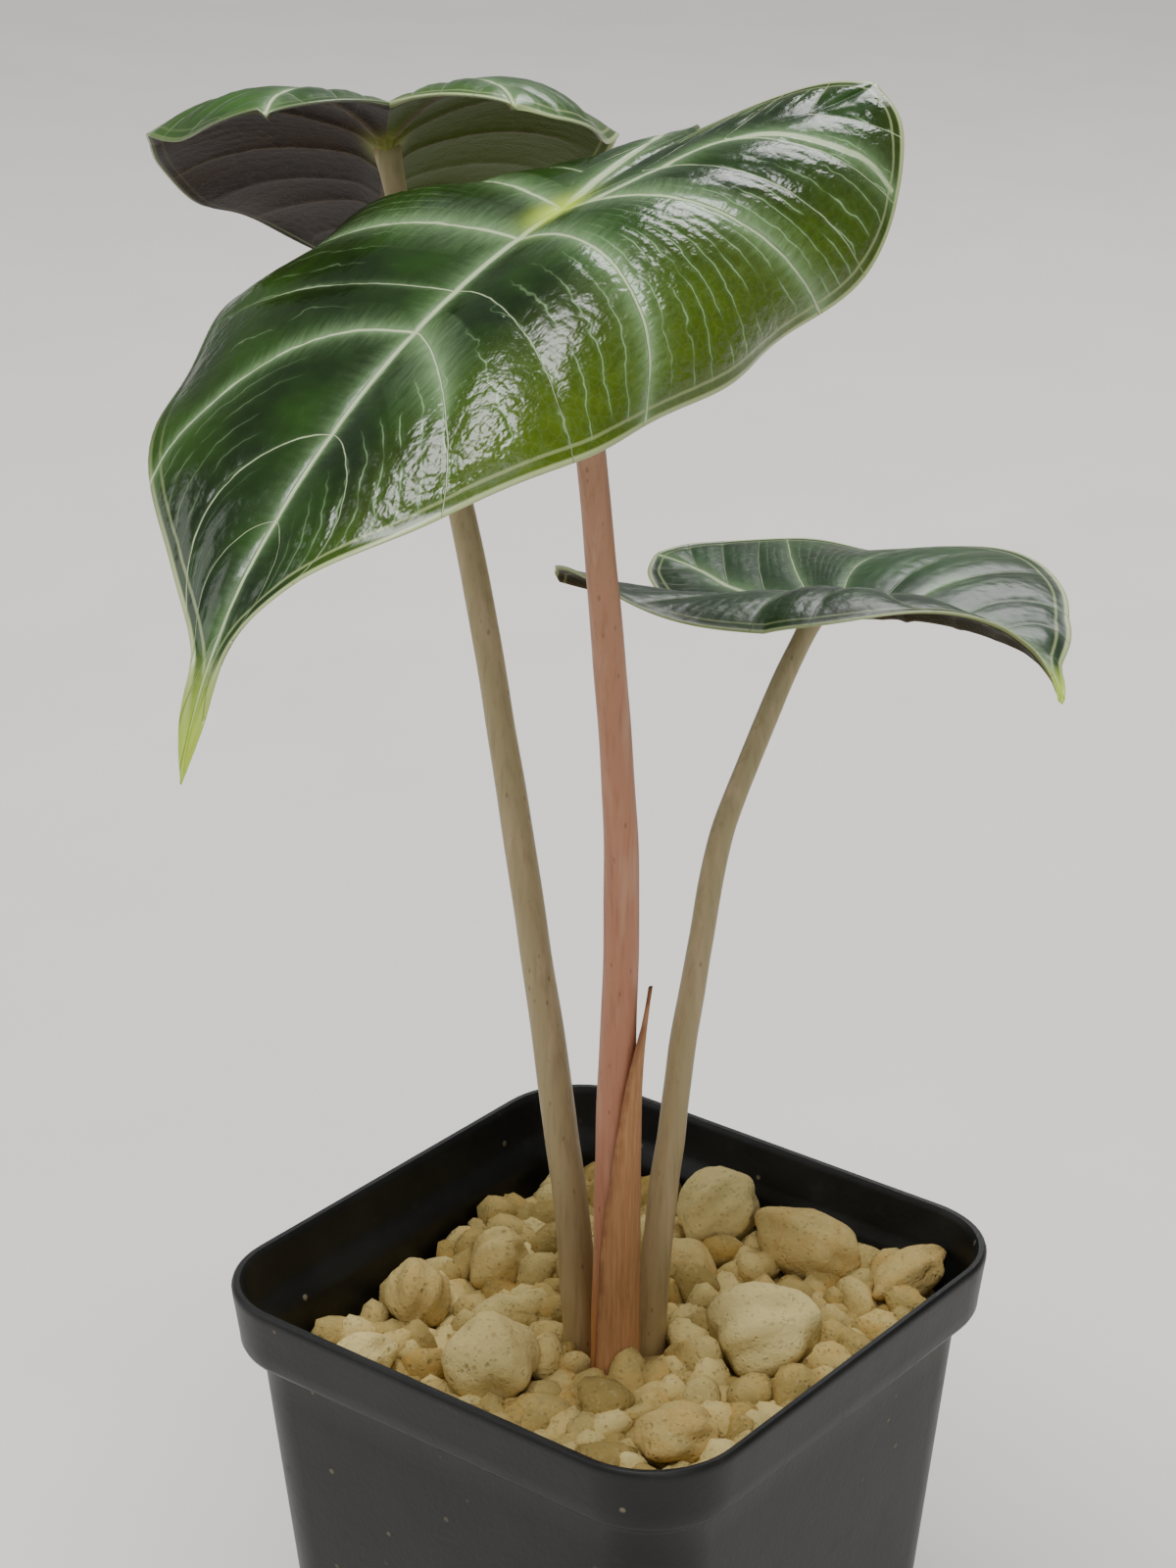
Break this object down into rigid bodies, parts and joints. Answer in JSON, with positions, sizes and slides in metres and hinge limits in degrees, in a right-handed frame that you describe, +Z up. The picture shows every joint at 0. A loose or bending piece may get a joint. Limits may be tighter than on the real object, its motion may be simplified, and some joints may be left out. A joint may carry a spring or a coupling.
{
  "type": "potted nairobi nights alocasia",
  "caption": "House plant with glossy dark arrow-shaped leaves, pale veins and tall pinkish stalks, growing from pumice gravel in a small square black nursery pot.",
  "frame": {"origin": "the middle of the pot's flat underside, on the surface it stands on", "axes": "+Z up; X and Y square to the pot's walls; the largest leaf's tip points along -Y and a little to -X"},
  "size_m": [0.1478, 0.1627, 0.2788],
  "materials": {
    "pot_plastic": "satin",
    "gravel_grit": "matte",
    "pale_pumice": "matte",
    "tan_stone": "matte",
    "crown_bark": "matte",
    "pink_stalk": "satin",
    "tan_stalk": "satin",
    "dry_sheath": "matte",
    "front_leaf": "gloss",
    "left_leaf": "gloss",
    "right_leaf": "gloss"
  },
  "bodies": {
    "root": {"pot": "pot_plastic", "gravel": "gravel_grit", "stone_big_right": "pale_pumice", "stone_big_left": "pale_pumice", "stone_back_round": "pale_pumice", "stone_back_wide": "tan_stone", "stone_long": "tan_stone", "stone_left_far": "tan_stone", "stone_left_mid": "tan_stone", "stone_left_corner": "pale_pumice", "stone_front": "tan_stone", "stone_middle": "tan_stone", "crown": "crown_bark", "petiole_front": "pink_stalk", "petiole_left": "tan_stalk", "petiole_right": "tan_stalk", "sheath": "dry_sheath", "blade_front": "front_leaf", "blade_left": "left_leaf", "blade_right": "right_leaf"}
  },
  "joints": []
}
